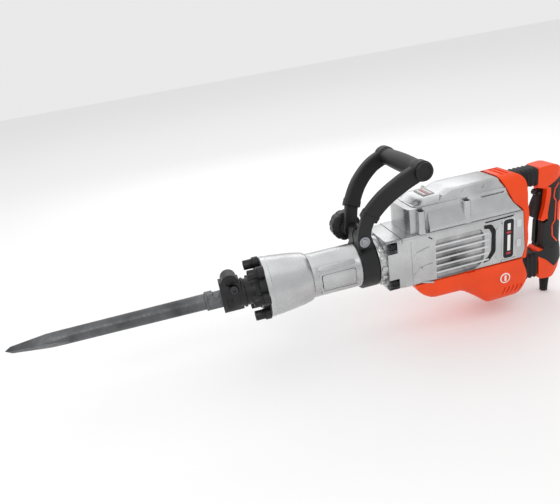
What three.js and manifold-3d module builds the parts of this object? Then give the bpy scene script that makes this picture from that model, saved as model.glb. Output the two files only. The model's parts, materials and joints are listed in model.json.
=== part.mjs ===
// Electric jackhammer: a chisel, a tool retainer, an air-spring striking mechanism driven by a
// crank, a two-stage gear train and an upright motor, a swivelling side handle and a sprung rear
// handle. Millimetres, +Z up. The hammer's axis lies along X with the chisel's tip at -X.
// Lengths along X are measured from the front face of the cylinder case.

import * as THREE from 'three';
import { mergeVertices } from 'three/addons/utils/BufferGeometryUtils.js';
import Module from 'manifold-3d';

const wasm = await Module();
wasm.setup();

// ---------------------------------------------------------------- driving dimensions

const GAP = 0.3; // air between two pieces that touch
const SLIP = 0.4; // radial play of a piece that slides or turns in another

// Chisel and tool retainer
const HEX = 30; // chisel shank across the flats
const TIP = -452; // chisel tip
const COLLAR = -104; // front end of the hexagonal shank
const SHANK_END = -3; // rear end of the chisel
const NOTCH = [-95, -24]; // notch in the shank's top for the retainer pin
const PIN = { x: -56, z: 18.5, radius: 8 };
const COVER_FRONT = -80; // front face of the tool retainer casting
const FLANGE = 11; // thickness of its lobed flange
const BOLT_CIRCLE = 47;
const COVER_BOLTS = 6;

// Cylinder case and striking mechanism
const CASE_RADIUS = 55.5; // front rim
const BARREL = 41; // outer radius of the barrel
const CASE_BORE = 34;
const CASE_END = 250; // rear face of the square plate
const PLATE = { y: 50, z: 49, front: 222, seat: 240 };
const PLATE_BOLT = { y: 41, z: 36 };
const LINER = { outer: 33.5, inner: 27.5, front: 58.4, rear: 215 };
const PISTON_RADIUS = 27;
const RAM = { front: 119.6, length: 50 };

// Crank, gears and motor, on three upright shafts
const THROW = 15;
const CRANK_X = 325;
const ROD_LENGTH = 115;
const SLOW = { module: 2, pinion: 10, wheel: 33, low: 50.6, high: 62 };
const FAST = { module: 1.5, pinion: 10, wheel: 46, low: 66, high: 75 };
const LAYSHAFT_X = CRANK_X + SLOW.module * (SLOW.pinion + SLOW.wheel) / 2;
const MOTOR_X = LAYSHAFT_X + FAST.module * (FAST.pinion + FAST.wheel) / 2;
const CORE_RADIUS = 23.5;
const SHAFT_RADIUS = 5.5;

// Housings
const BODY = { front: CASE_END + GAP, halfWidth: 50, low: -49, high: 50 };
const COVER_HALF = 40; // half-width of the gear cover
const COVER_TOP = 97;
const SCREW_PLACES = [[291, -43], [291, 43], [380, -43], [380, 43]];
const SCREW_HOLE = 2.8; // radius of the holes for the gear cover's screws
const BOLT_HOLE = 4.4; // radius of the holes for the square plate's bolts
const VENT = { front: 314, rear: 404, low: -46, high: 33, ribs: 5 }; // ribbed panel in each side
// The seam between the aluminium housings and the orange rear cover, top to bottom.
const SEAM = [[452, 116.5], [460.5, COVER_TOP], [474, 67], [491, 51], [497, -29], [491, -49]];

// Side handle
const PIVOT = { x: 184, z: 57.5, radius: 6 };
const BAND = [177, 206];
const CROSSBAR = { x: 281, z: 173.5, radius: 9, reach: 84 };
const GRIP_RADIUS = 15;
// The arm's centre line in the XZ plane, from the pivot up and back to the crossbar.
const ARM_LINE = [[PIVOT.x, PIVOT.z], [188, 78], [196, 104], [219, 135], [250, 160],
  [CROSSBAR.x, CROSSBAR.z]];
const ARM_SPREAD = [34, 71]; // distance from the middle at the pivot and at the crossbar
const SLEEVE_FROM = 0.36; // where the thick sleeve begins, as a share of the arm
const BAR_HALF = 12; // half-depth of the bare arm
const SLEEVE_HALF = 14; // half-depth of the arm under its sleeve
const KNOB_RADIUS = 29;

// Rear handle
const GRIP = { x: 584, halfDepth: 18, halfWidth: 16, low: -60, high: -4 };
const GRIP_CORE = { front: 577, rear: 595, halfWidth: 8 }; // stiff core inside the soft grip
const LOCK = { x: 555, z: 57, radius: 4 };
const HANDLE_HALF = 19; // half-width of the orange handle
const TRIGGER_ROOM = { low: 0, high: 64, halfWidth: 7, rear: 585 };
const BELLOWS_DEPTH = 3.4; // depth of the folds

// ---------------------------------------------------------------- materials

function metal(color, roughness) {
  return new THREE.MeshStandardMaterial({ color, roughness, metalness: 1 });
}

function plastic(color, roughness) {
  return new THREE.MeshStandardMaterial({ color, roughness, metalness: 0 });
}

const MATERIALS = {
  forgedSteel: metal(0x4a4c4f, 0.5),
  blackCasting: plastic(0x1d1e20, 0.55),
  blackBolt: metal(0x26272a, 0.45),
  castAluminium: metal(0xc4c6c7, 0.42),
  machinedSteel: metal(0xa7abb0, 0.28),
  bearingSteel: metal(0xb9bdc2, 0.2),
  copper: metal(0xb8693a, 0.35),
  carbon: plastic(0x232323, 0.7),
  orangePlastic: plastic(0xee3f0e, 0.38),
  blackPlastic: plastic(0x18191a, 0.5),
  rubber: plastic(0x141414, 0.8),
  nylon: plastic(0xd9d6cc, 0.5),
};

// ---------------------------------------------------------------- solids

// A closed three.js geometry as a solid that can be joined and cut.
function solid(geometry) {
  const bare = geometry.clone();
  bare.deleteAttribute('normal');
  bare.deleteAttribute('uv');
  const merged = mergeVertices(bare, 1e-4);
  const corners = merged.index.array;
  const kept = [];
  for (let i = 0; i < corners.length; i += 3) {
    const [a, b, c] = corners.slice(i, i + 3);
    if (a !== b && b !== c && c !== a) {
      kept.push(a, b, c);
    }
  }
  return new wasm.Manifold(new wasm.Mesh({
    numProp: 3,
    vertProperties: merged.attributes.position.array,
    triVerts: Uint32Array.from(kept),
  }));
}

function toGeometry(body) {
  const mesh = body.getMesh();
  const geometry = new THREE.BufferGeometry();
  geometry.setAttribute('position', new THREE.BufferAttribute(mesh.vertProperties, 3));
  geometry.setIndex(new THREE.BufferAttribute(mesh.triVerts, 1));
  geometry.computeVertexNormals();
  return geometry;
}

function join(...bodies) {
  return bodies.reduce((whole, body) => whole.add(body));
}

function cut(whole, ...tools) {
  return tools.reduce((rest, tool) => rest.subtract(tool), whole);
}

// A box between two opposite corners.
function box(low, high) {
  const size = high.map((value, i) => value - low[i]);
  const geometry = new THREE.BoxGeometry(...size);
  geometry.translate(...low.map((value, i) => value + size[i] / 2));
  return solid(geometry);
}

// The turn and place that lay a prism's outline across the named axis. The outline is given in
// the two other axes, in X, Y, Z order.
const FACING_X = new THREE.Matrix4().set(0, 0, 1, 0, 1, 0, 0, 0, 0, 1, 0, 0, 0, 0, 0, 1);
const FACING_Y = new THREE.Matrix4().set(1, 0, 0, 0, 0, 0, -1, 0, 0, 1, 0, 0, 0, 0, 0, 1);
const ACROSS = {
  x: (g, from) => g.applyMatrix4(FACING_X).translate(from, 0, 0),
  y: (g, from, to) => g.applyMatrix4(FACING_Y).translate(0, to, 0),
  z: (g, from) => g.translate(0, 0, from),
};

function prism(axis, from, to, outline) {
  const isShape = outline instanceof THREE.Shape;
  const corners = isShape ? [] : outline.map(([u, v]) => new THREE.Vector2(u, v));
  const shape = isShape ? outline : new THREE.Shape(corners);
  const options = { depth: to - from, bevelEnabled: false, curveSegments: 4 };
  const geometry = new THREE.ExtrudeGeometry(shape, options);
  return solid(ACROSS[axis](geometry, from, to));
}

// A closed outline whose corners [u, v, radius] are rounded.
function roundedShape(corners) {
  const shape = new THREE.Shape();
  const points = corners.map(([u, v]) => new THREE.Vector2(u, v));
  corners.forEach(([, , radius = 0], i) => {
    const here = points[i];
    const before = points.at(i - 1);
    const after = points[(i + 1) % points.length];
    const start = here.clone().add(before.clone().sub(here).setLength(radius || 1e-9));
    const end = here.clone().add(after.clone().sub(here).setLength(radius || 1e-9));
    if (i === 0) {
      shape.moveTo(radius ? start.x : here.x, radius ? start.y : here.y);
    } else {
      shape.lineTo(radius ? start.x : here.x, radius ? start.y : here.y);
    }
    if (radius) {
      shape.quadraticCurveTo(here.x, here.y, end.x, end.y);
    }
  });
  return shape;
}

// Places a turned solid, made around +Y, on the named axis. The centre is given in the two other
// axes, in X, Y, Z order.
const AROUND = {
  x: (g, [y, z]) => g.rotateZ(-Math.PI / 2).translate(0, y, z),
  y: (g, [x, z]) => g.translate(x, 0, z),
  z: (g, [x, y]) => g.rotateX(Math.PI / 2).translate(x, y, 0),
};

// A solid of revolution. The profile's points are [radius, place along the axis].
function turned(axis, profile, sides = 24, centre = [0, 0]) {
  const points = profile.map(([radius, along]) => new THREE.Vector2(radius, along));
  if (THREE.ShapeUtils.isClockWise(points)) {
    points.reverse();
  }
  if (points[0].x > 0 || points.at(-1).x > 0) {
    points.push(points[0].clone());
  }
  return solid(AROUND[axis](new THREE.LatheGeometry(points, sides), centre));
}

function disc(axis, radius, from, to, sides = 20, centre = [0, 0]) {
  return turned(axis, [[0, from], [radius, from], [radius, to], [0, to]], sides, centre);
}

function ring(axis, outer, inner, from, to, sides = 24, centre = [0, 0]) {
  return turned(axis, [[inner, from], [outer, from], [outer, to], [inner, to]], sides, centre);
}

// A hexagon with two flats level, by its width across the flats.
function hexagon(width) {
  const corner = width / Math.sqrt(3);
  return [0, 1, 2, 3, 4, 5].map((i) => {
    const angle = i * Math.PI / 3;
    return [corner * Math.cos(angle), corner * Math.sin(angle)];
  });
}

// A straight-sided gear around an upright shaft at x, with its first tooth turned by `phase`.
function gear(teeth, module, low, high, x, phase = 0) {
  const pitch = teeth * module / 2;
  const half = Math.PI / teeth;
  const corners = [];
  for (let i = 0; i < teeth; i += 1) {
    const middle = 2 * half * i + phase;
    const levels = [[-0.72, -1.15], [-0.24, 0.85], [0.24, 0.85], [0.72, -1.15]];
    for (const [share, height] of levels) {
      const radius = pitch + module * height;
      const angle = middle + share * half;
      corners.push([radius * Math.cos(angle), radius * Math.sin(angle)]);
    }
  }
  return prism('z', low, high, corners.map(([u, v]) => [u + x, v]));
}

// ---------------------------------------------------------------- the assembly

const hammer = new THREE.Group();

function add(name, body, material, place = [0, 0, 0], parent = hammer) {
  const mesh = new THREE.Mesh(toGeometry(body), material);
  mesh.name = name;
  mesh.position.set(...place);
  parent.add(mesh);
  return mesh;
}

// ---------------------------------------------------------------- chisel and tool retainer

// A four-sided point: its flats meet on the axis at `apex` and open by `slope` per millimetre.
function pyramid(apex, slope, length) {
  const geometry = new THREE.ConeGeometry(slope * length * Math.SQRT2, length, 4);
  geometry.rotateY(THREE.MathUtils.degToRad(38 - 45));
  geometry.rotateZ(Math.PI / 2);
  geometry.translate(apex + length / 2, 0, 0);
  return solid(geometry);
}

function chisel() {
  const profile = [[0, TIP], [13.2, TIP], [14.6, -109], [17.5, -108], [17.5, COLLAR], [14.8, COLLAR],
    [14.8, COLLAR + 6], [0, COLLAR + 6]];
  const shaft = turned('x', profile, 24);
  const blade = pyramid(TIP - 43, 0.084, 230).intersect(pyramid(TIP - 1, 0.42, 230));
  const aroundPoint = box([TIP - 8, -30, -30], [-290, 30, 30]).subtract(blade);
  const shank = prism('x', COLLAR, SHANK_END, hexagon(HEX));
  const notch = box([NOTCH[0], -20, HEX / 2 - 5], [NOTCH[1], 20, HEX]);
  return cut(join(cut(shaft, aroundPoint), shank), notch);
}

function onBoltCircle(i) {
  const angle = Math.PI / 6 + i * 2 * Math.PI / COVER_BOLTS;
  return [BOLT_CIRCLE * Math.sin(angle), BOLT_CIRCLE * Math.cos(angle)];
}

function frontCover() {
  const block = prism('x', COVER_FRONT, -46, [[12, 33], [22, 15], [22, -8], [12, -28], [-12, -28],
    [-22, -8], [-22, 15], [-12, 33]]);
  const boss = disc('y', 14.5, -14, 14, 24, [-61, 31]);
  const neck = turned('x', [[0, -47], [24.5, -47], [24.5, -20], [34, -FLANGE - GAP], [41, -FLANGE],
    [41, -GAP], [0, -GAP]], 24);
  let casting = join(block, boss, neck);
  for (let i = 0; i < COVER_BOLTS; i += 1) {
    casting = casting.add(disc('x', 9.6, -FLANGE, -GAP, 12, onBoltCircle(i)));
  }
  for (let i = 0; i < COVER_BOLTS; i += 1) {
    casting = cut(casting, disc('x', 6.5, -FLANGE - 1, 1, 10, onBoltCircle(i)));
  }
  const bore = prism('x', COVER_FRONT - 1, 1, hexagon(HEX + 0.9));
  const pinBore = disc('y', PIN.radius + SLIP, -30, 30, 20, [PIN.x, PIN.z]);
  return cut(casting, bore, pinBore);
}

// The pin's flat faces up while the pin holds the shank and down when the shank is free.
function retainerPin() {
  const shaft = disc('y', PIN.radius, -23.5, 25, 20, [PIN.x, PIN.z]);
  const flat = box([PIN.x - 10, -19, PIN.z + 2.9], [PIN.x + 10, 19, PIN.z + 10]);
  const hub = disc('y', 9.5, 24.4, 31, 20, [PIN.x, PIN.z]);
  const lever = box([PIN.x - 5, 24.4, PIN.z - 33], [PIN.x + 5, 31, PIN.z]);
  return join(cut(shaft, flat), hub, lever);
}

// A cap screw along X with its head at the front; the origin is under the head.
function capScrew(headRadius, headLength, shankRadius, shankLength, socket) {
  const profile = [[0, -headLength], [headRadius, -headLength], [headRadius, 0], [shankRadius, 0],
    [shankRadius, shankLength], [0, shankLength]];
  const key = prism('x', -headLength - 1, -headLength / 2, hexagon(socket));
  return cut(turned('x', profile, 12), key);
}

function addRetainer() {
  add('chisel', chisel(), MATERIALS.forgedSteel);
  add('front_cover', frontCover(), MATERIALS.blackCasting);
  add('retainer_pin', retainerPin(), MATERIALS.machinedSteel);
  const screw = capScrew(9.2, 17.7, 6, 33, 10);
  for (let i = 0; i < COVER_BOLTS; i += 1) {
    const [y, z] = onBoltCircle(i);
    add(`cover_bolt_${i + 1}`, screw, MATERIALS.blackBolt, [-FLANGE - GAP, y, z]);
  }
}

// ---------------------------------------------------------------- cylinder case and its contents

function cylinderCase() {
  const profile = [[0, 0], [CASE_RADIUS, 0], [54.3, 23], [49, 65], [44, 82], [BARREL, 84],
    [BARREL, 207], [47, 208], [47, 219], [44, PLATE.front + 1], [0, PLATE.front + 1]];
  const barrel = turned('x', profile, 24);
  const plate = prism('x', PLATE.front, CASE_END, roundedShape([
    [PLATE.y, PLATE.z, 9], [-PLATE.y, PLATE.z, 9], [-PLATE.y, -PLATE.z, 9], [PLATE.y, -PLATE.z, 9]]));
  let casting = join(barrel, plate);
  const panelRing = ring('x', BARREL + 2.2, BARREL - 2, 95, 165, 24);
  for (const side of [-1, 1]) {
    const [near, far] = [0, side * 60].sort((a, b) => a - b);
    casting = casting.add(panelRing.intersect(box([90, near, -16], [170, far, 16])));
  }
  casting = cut(casting, disc('x', CASE_BORE, -1, CASE_END + 1, 24));
  for (let i = 0; i < COVER_BOLTS; i += 1) {
    casting = cut(casting, disc('x', 6.4, -1, 24, 10, onBoltCircle(i)));
  }
  for (const [y, z] of plateCorners()) {
    const pocket = disc('x', 10, PLATE.front - 1, PLATE.seat, 14, [y, z]);
    const [near, far] = [y, 2 * y].sort((a, b) => a - b);
    const way = box([PLATE.front - 1, near, z - 10], [PLATE.seat, far, z + 10]);
    casting = cut(casting, pocket, way, disc('x', BOLT_HOLE, 230, CASE_END + 1, 8, [y, z]));
  }
  return casting;
}

function plateCorners() {
  const { y, z } = PLATE_BOLT;
  return [[-y, z], [y, z], [-y, -z], [y, -z]];
}

function addStriker() {
  add('cylinder_case', cylinderCase(), MATERIALS.castAluminium);
  const guide = [[14.5, GAP + 0.1], [LINER.outer, GAP + 0.1], [LINER.outer, 46], [20.5, 46], [20.5, 9],
    [14.5, 9]];
  add('impact_guide', turned('x', guide), MATERIALS.machinedSteel);
  const bolt = [[0, -2.4], [14, -2.4], [14, 24], [20, 24], [20, 48], [12.5, 48], [12.5, 84],
    [0, 84]];
  add('impact_bolt', turned('x', bolt), MATERIALS.machinedSteel);
  add('damper_ring', ring('x', LINER.outer, 13, 48.4, 58), MATERIALS.rubber);
  const { outer, inner, front, rear } = LINER;
  const liner = [[13, front], [outer, front], [outer, rear], [inner, rear], [inner, 66], [13, 66]];
  add('cylinder_liner', turned('x', liner), MATERIALS.machinedSteel);
  const { front: nose, length } = RAM;
  const ram = [[0, nose], [PISTON_RADIUS, nose], [PISTON_RADIUS, nose + 23], [25, nose + 23],
    [25, nose + 27], [PISTON_RADIUS, nose + 27], [PISTON_RADIUS, nose + length], [0, nose + length]];
  add('ram', turned('x', ram), MATERIALS.machinedSteel);
  const crown = 184.3;
  const piston = [[0, 172], [PISTON_RADIUS, 172], [PISTON_RADIUS, 176], [25.2, 176], [25.2, 180],
    [PISTON_RADIUS, 180], [PISTON_RADIUS, 243], [25.4, 243], [25.4, crown], [0, crown]];
  add('drive_piston', turned('x', piston), MATERIALS.machinedSteel);
}

// ---------------------------------------------------------------- crank, gears and motor

function connectingRod() {
  const small = CRANK_X + THROW - ROD_LENGTH;
  const big = CRANK_X + THROW;
  const eyes = join(disc('z', 8.5, -6.5, 6.5, 20, [small, 0]), disc('z', 13.5, -7.5, 7.5, 24, [big, 0]));
  const shank = box([small, -5.5, -4.5], [big, 5.5, 4.5]);
  const bored = cut(join(eyes, shank), disc('z', 7 + SLIP, -9, 9, 16, [big, 0]));
  return join(bored, disc('z', 4.5, -14, 14, 12, [small, 0]));
}

function crankshaft() {
  const web = disc('z', 30, 10, 22, 24, [CRANK_X, 0]);
  const pin = disc('z', 7, -9, 11, 14, [CRANK_X + THROW, 0]);
  const shaft = disc('z', 10.5, 21, 64, 18, [CRANK_X, 0]);
  const lightening = disc('z', 6, 9, 17, 12, [CRANK_X - 12, 17]);
  return cut(join(web, pin, shaft), lightening);
}

function addCrank() {
  add('crankshaft', crankshaft(), MATERIALS.machinedSteel);
  add('connecting_rod', connectingRod(), MATERIALS.machinedSteel);
  add('crank_bearing', ring('z', 22, 11, 24, 38, 20, [CRANK_X, 0]), MATERIALS.bearingSteel);
  const wheel = gear(SLOW.wheel, SLOW.module, SLOW.low, SLOW.high, CRANK_X);
  add('crank_gear', cut(wheel, disc('z', 11, 45, 70, 18, [CRANK_X, 0])), MATERIALS.machinedSteel);
}

function addLayshaft() {
  const halfTooth = Math.PI / SLOW.pinion;
  const pinion = gear(SLOW.pinion, SLOW.module, SLOW.low, SLOW.high + 2, LAYSHAFT_X, halfTooth);
  const shaft = disc('z', 6, 38, 90, 16, [LAYSHAFT_X, 0]);
  add('intermediate_shaft', join(shaft, pinion), MATERIALS.machinedSteel);
  const wheel = gear(FAST.wheel, FAST.module, FAST.low, FAST.high, LAYSHAFT_X);
  const bored = cut(wheel, disc('z', 6.3, 60, 80, 16, [LAYSHAFT_X, 0]));
  add('intermediate_gear', bored, MATERIALS.machinedSteel);
}

function fan() {
  const bladed = [disc('z', 33, 13, 15.5, 24, [MOTOR_X, 0]), disc('z', 10, 13, 24, 16, [MOTOR_X, 0])];
  const blades = 8;
  for (let i = 0; i < blades; i += 1) {
    const angle = i * 2 * Math.PI / blades;
    const blade = new THREE.BoxGeometry(23, 1.8, 9.5);
    blade.translate(20.5, 0, 19.25).rotateZ(angle).translate(MOTOR_X, 0, 0);
    bladed.push(solid(blade));
  }
  return cut(join(...bladed), disc('z', SHAFT_RADIUS + GAP, 10, 30, 16, [MOTOR_X, 0]));
}

function addMotor() {
  const centre = [MOTOR_X, 0];
  const halfTooth = Math.PI / FAST.pinion;
  const pinion = gear(FAST.pinion, FAST.module, FAST.low - 2, FAST.high + 2, MOTOR_X, halfTooth);
  const shaft = disc('z', SHAFT_RADIUS, -106, FAST.high + 3, 16, centre);
  add('armature_shaft', join(shaft, pinion), MATERIALS.machinedSteel);
  const bore = SHAFT_RADIUS + GAP;
  const core = [[bore, -70], [19, -70], [19, -62], [CORE_RADIUS, -61], [CORE_RADIUS, -1], [19, 0],
    [19, 8], [bore, 8]];
  add('armature_core', turned('z', core, 24, centre), MATERIALS.copper);
  add('commutator', ring('z', 13, bore, -95, -79, 16, centre), MATERIALS.copper);
  add('fan', fan(), MATERIALS.nylon);
  add('motor_bearing', ring('z', 14, 6, 35.4, 45, 18, centre), MATERIALS.bearingSteel);
  add('stator', ring('z', 41, CORE_RADIUS + 0.9, -66, 4, 24, centre), MATERIALS.copper);
  for (const side of [-1, 1]) {
    const [near, far] = [side * 13.6, side * 31].sort((a, b) => a - b);
    const brush = box([MOTOR_X - 3.5, near, -93], [MOTOR_X + 3.5, far, -82]);
    add(side < 0 ? 'carbon_brush_left' : 'carbon_brush_right', brush, MATERIALS.carbon);
  }
}

// ---------------------------------------------------------------- housings

function crankCase() {
  const { front, halfWidth, low, high } = BODY;
  const side = prism('y', -halfWidth, halfWidth, [[front, low], [front, high], [489.5, high],
    [490.6, high], [496.6, -29], [490.6, low]]);
  const section = prism('x', front - 1, 500, roundedShape([[halfWidth, high, 5], [-halfWidth, high, 5],
    [-halfWidth, low, 5], [halfWidth, low, 5]]));
  const motorBore = disc('z', 44, low - 1, 33.5, 28, [MOTOR_X, 0]);
  const rearRoom = box([MOTOR_X, -44, low - 1], [484, 44, 33.5]);
  const frontRoom = box([front + 10, -43, low - 1], [358, 43, -23]);
  const cuts = [
    disc('x', 30, front - 1, CRANK_X, 24),
    disc('z', 33, -17, 23.4, 28, [CRANK_X, 0]),
    disc('z', 22.5, 20, high + 1, 20, [CRANK_X, 0]),
    disc('z', 6 + SLIP, 37.5, high + 1, 12, [LAYSHAFT_X, 0]),
    disc('z', 14.5, 35, high + 1, 18, [MOTOR_X, 0]),
    disc('z', 7.5, 30, 36, 12, [MOTOR_X, 0]),
    motorBore,
    rearRoom,
    frontRoom,
  ];
  let casting = cut(side.intersect(section), ...cuts);
  for (const [y, z] of plateCorners()) {
    casting = cut(casting, disc('x', BOLT_HOLE, front - 1, 266, 8, [y, z]));
  }
  for (const [x, y] of SCREW_PLACES) {
    casting = cut(casting, disc('z', SCREW_HOLE, 34, high + 1, 10, [x, y]));
  }
  const pocketDepth = 4.3;
  for (const y of [-halfWidth, halfWidth]) {
    const pocket = box([VENT.front - GAP, y - pocketDepth, VENT.low - GAP],
      [VENT.rear + GAP, y + pocketDepth, VENT.high + GAP]);
    casting = cut(casting, pocket);
  }
  return casting;
}

// The ribbed vent panel of the right side.
function ventPanel() {
  const { front, rear, low, high, ribs } = VENT;
  const face = BODY.halfWidth;
  const plate = box([front, face - 4, low], [rear, face - 2, high]);
  const pitch = (high - low) / (ribs + 1);
  const bars = [];
  for (let i = 1; i <= ribs; i += 1) {
    const z = low + i * pitch;
    bars.push(box([front + 4, face - 2.1, z - 3.4], [rear - 4, face, z + 3.4]));
  }
  return join(plate, ...bars);
}

function gearCover() {
  const low = BODY.high + GAP;
  const profile = [[267, low], [267, COVER_TOP], [459.8, COVER_TOP], [473.4, 67], [488.5, low]];
  let cover = prism('y', -COVER_HALF, COVER_HALF, profile);
  for (const [x, y] of SCREW_PLACES) {
    cover = cover.add(disc('z', 7, low, 92, 18, [x, y]));
  }
  const rounded = prism('z', low - 1, 120, roundedShape([[267, -52, 16], [520, -52, 1], [520, 52, 1],
    [267, 52, 16]]));
  cover = cover.intersect(rounded);
  const room = prism('y', -36.6, 36.6, [[271, low - 1], [271, 93], [456, 93], [469, 66], [480, low - 1]]);
  cover = cut(cover, room);
  const boss = disc('z', 10, 78, 94, 20, [LAYSHAFT_X, 0]);
  cover = cut(cover.add(boss), disc('z', 6 + SLIP, 70, 90.5, 16, [LAYSHAFT_X, 0]));
  for (const [x, y] of SCREW_PLACES) {
    cover = cut(cover, disc('z', SCREW_HOLE, 40, 93, 10, [x, y]), disc('z', 4.9, 87, 93, 14, [x, y]));
  }
  return cover;
}

// The lid on the gear cover, low in front and humped behind.
function lid() {
  const low = COVER_TOP + GAP;
  const profile = [[286, low], [296, 106], [312, 108.5], [334, 109], [352, 116], [451.5, 116.5],
    [459.8, low]];
  const whole = prism('y', -39, 39, profile);
  const section = prism('x', 280, 470, [[38.5, low], [30, 110], [22, 117], [-22, 117], [-30, 110],
    [-38.5, low]]);
  return whole.intersect(section);
}

function lowerHousing() {
  const low = BODY.low - GAP;
  const profile = [[272, low], [298, -82], [312, -90], [366, -90], [376, -95], [409, -119], [427, -134],
    [490, -132], [504, -120], [508, -100], [498, -60], [491, low]];
  const shell = prism('y', -50, 50, profile);
  const section = prism('x', 262, 520, [[50, low], [50, -104], [46, -122], [36, -139],
    [-36, -139], [-46, -122], [-50, -104], [-50, low]]);
  const roomProfile = [[280, low + 1], [302, -79], [314, -86], [364, -86], [374, -91], [406, -114.5],
    [428, -129], [488, -127.5], [499, -117], [503, -100], [493, -60], [486, low + 1]];
  const room = prism('y', -46, 46, roomProfile);
  const roomSection = prism('x', 262, 520, [[46, low + 2], [46, -103], [42, -120], [34, -134],
    [-34, -134], [-42, -120], [-46, -103], [-46, low + 2]]);
  return cut(shell.intersect(section), room.intersect(roomSection));
}

function rearCover() {
  const top = 117;
  const seam = SEAM.map(([x, z], i) => [x + 2 * GAP, i === 0 ? top : z]);
  const profile = [...seam, [500, -49], [502, -20], [502, 60], [501, 100], [494, 113], [480, top]];
  const whole = prism('y', -50, 50, profile);
  const section = prism('x', 440, 520, [[50, -49], [50, 51], [45, 64], [42, 96], [34, 111], [22, top],
    [-22, top], [-34, 111], [-42, 96], [-45, 64], [-50, 51], [-50, -49]]);
  return whole.intersect(section);
}

function addHousings() {
  add('crank_case', crankCase(), MATERIALS.castAluminium);
  const plateScrew = capScrew(6.5, 7, 4, 24.7, 6);
  plateCorners().forEach(([y, z], i) => {
    add(`case_bolt_${i + 1}`, plateScrew, MATERIALS.blackBolt, [240 - GAP, y, z]);
  });
  add('gear_cover', gearCover(), MATERIALS.castAluminium);
  const coverScrew = capScrew(4.5, 5, 2.5, 50, 4);
  SCREW_PLACES.forEach(([x, y], i) => {
    const mesh = add(`gear_cover_screw_${i + 1}`, coverScrew, MATERIALS.blackBolt, [x, y, 87 + GAP]);
    mesh.rotation.y = Math.PI / 2;
  });
  add('lid', lid(), MATERIALS.castAluminium);
  add('vent_panel_right', ventPanel(), MATERIALS.castAluminium);
  add('vent_panel_left', mirrored(ventPanel()), MATERIALS.castAluminium);
  add('lower_housing', lowerHousing(), MATERIALS.orangePlastic);
  add('rear_cover', rearCover(), MATERIALS.orangePlastic);
}

// ---------------------------------------------------------------- side handle

function clampBand() {
  const [front, rear] = BAND;
  const middle = (front + rear) / 2;
  const ears = prism('y', -27, 27, roundedShape([[front, 30, 0], [front, 70, 9], [rear - 8, 70, 9],
    [rear, 44, 0], [rear, 30, 0]]));
  const band = join(ring('x', 46.5, BARREL - 4, front, rear, 24), ears);
  const split = box([front - 1, -2.5, 20], [rear + 1, 2.5, 80]);
  const hole = disc('y', PIVOT.radius + SLIP, -40, 40, 16, [PIVOT.x, PIVOT.z]);
  const bore = disc('x', BARREL + 0.8, middle - 30, middle + 30, 24);
  return cut(band, bore, split, hole);
}

// The right handle arm: a flat bar that spreads outwards as it rises, deeper under its sleeve.
function arm() {
  const line = new THREE.CatmullRomCurve3(ARM_LINE.map(([x, z]) => new THREE.Vector3(x, 0, z)));
  const steps = 11;
  const outline = [];
  const inline = [];
  for (let i = 0; i <= steps; i += 1) {
    const share = i / steps;
    const point = line.getPointAt(share);
    const along = line.getTangentAt(share);
    const half = share < SLEEVE_FROM ? BAR_HALF : SLEEVE_HALF;
    outline.push([point.x - along.z * half, point.z + along.x * half]);
    inline.push([point.x + along.z * half, point.z - along.x * half]);
  }
  const sideView = prism('y', -100, 100, [...outline, ...inline.reverse()]);
  const ends = join(disc('y', BAR_HALF, -100, 100, 16, [PIVOT.x, PIVOT.z]),
    disc('y', 17, -100, 100, 20, [CROSSBAR.x, CROSSBAR.z]));
  const [inner, outer] = ARM_SPREAD;
  const frontView = prism('x', 150, 310, [[inner - 6, PIVOT.z - 15], [inner + 6, PIVOT.z - 15],
    [inner + 6, PIVOT.z + 14], [outer - 10, 118], [outer + 9, CROSSBAR.z - 20],
    [outer + 9, CROSSBAR.z + 20], [outer - 9, CROSSBAR.z + 20], [outer - 9, CROSSBAR.z - 16],
    [inner + 8, 118], [inner - 6, PIVOT.z + 20]]);
  const bar = sideView.add(ends).intersect(frontView);
  const pivotHole = disc('y', PIVOT.radius + SLIP, 0, 100, 16, [PIVOT.x, PIVOT.z]);
  const barHole = disc('y', CROSSBAR.radius + SLIP, 0, 200, 20, [CROSSBAR.x, CROSSBAR.z]);
  return cut(bar, pivotHole, barHole);
}

function addSideHandle() {
  add('clamp_band', clampBand(), MATERIALS.blackCasting);
  const bolt = turned('y', [[0, -48], [9.5, -48], [9.5, -40.6], [PIVOT.radius, -40.6],
    [PIVOT.radius, 60], [0, 60]], 16, [PIVOT.x, PIVOT.z]);
  add('pivot_bolt', bolt, MATERIALS.machinedSteel);
  const bore = PIVOT.radius + SLIP;
  const knob = turned('y', [[bore, 42], [14, 42], [14, 50], [KNOB_RADIUS - 2, 51], [KNOB_RADIUS, 54],
    [KNOB_RADIUS, 72], [KNOB_RADIUS - 3, 76], [bore, 76]], 20, [PIVOT.x, PIVOT.z]);
  add('knob', knob, MATERIALS.blackPlastic);
  add('arm_right', arm(), MATERIALS.blackCasting);
  add('arm_left', mirrored(arm()), MATERIALS.blackCasting);
  const place = [CROSSBAR.x, CROSSBAR.z];
  const { radius, reach } = CROSSBAR;
  add('crossbar', disc('y', radius, -reach, reach, 20, place), MATERIALS.machinedSteel);
  const half = ARM_SPREAD[1] - 9 - GAP;
  const collar = GRIP_RADIUS + 1;
  const grip = turned('y', [[radius + GAP, -half], [collar, -half], [collar, -half + 4],
    [GRIP_RADIUS, -half + 5], [GRIP_RADIUS, half - 5], [collar, half - 4], [collar, half],
    [radius + GAP, half]], 20, place);
  add('side_grip', grip, MATERIALS.rubber);
}

// The same solid on the other side of the middle plane.
function mirrored(body) {
  const geometry = toGeometry(body).scale(1, -1, 1);
  const index = geometry.index.array;
  for (let i = 0; i < index.length; i += 3) {
    [index[i], index[i + 1]] = [index[i + 1], index[i]];
  }
  return solid(geometry);
}

// ---------------------------------------------------------------- rear handle

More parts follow.
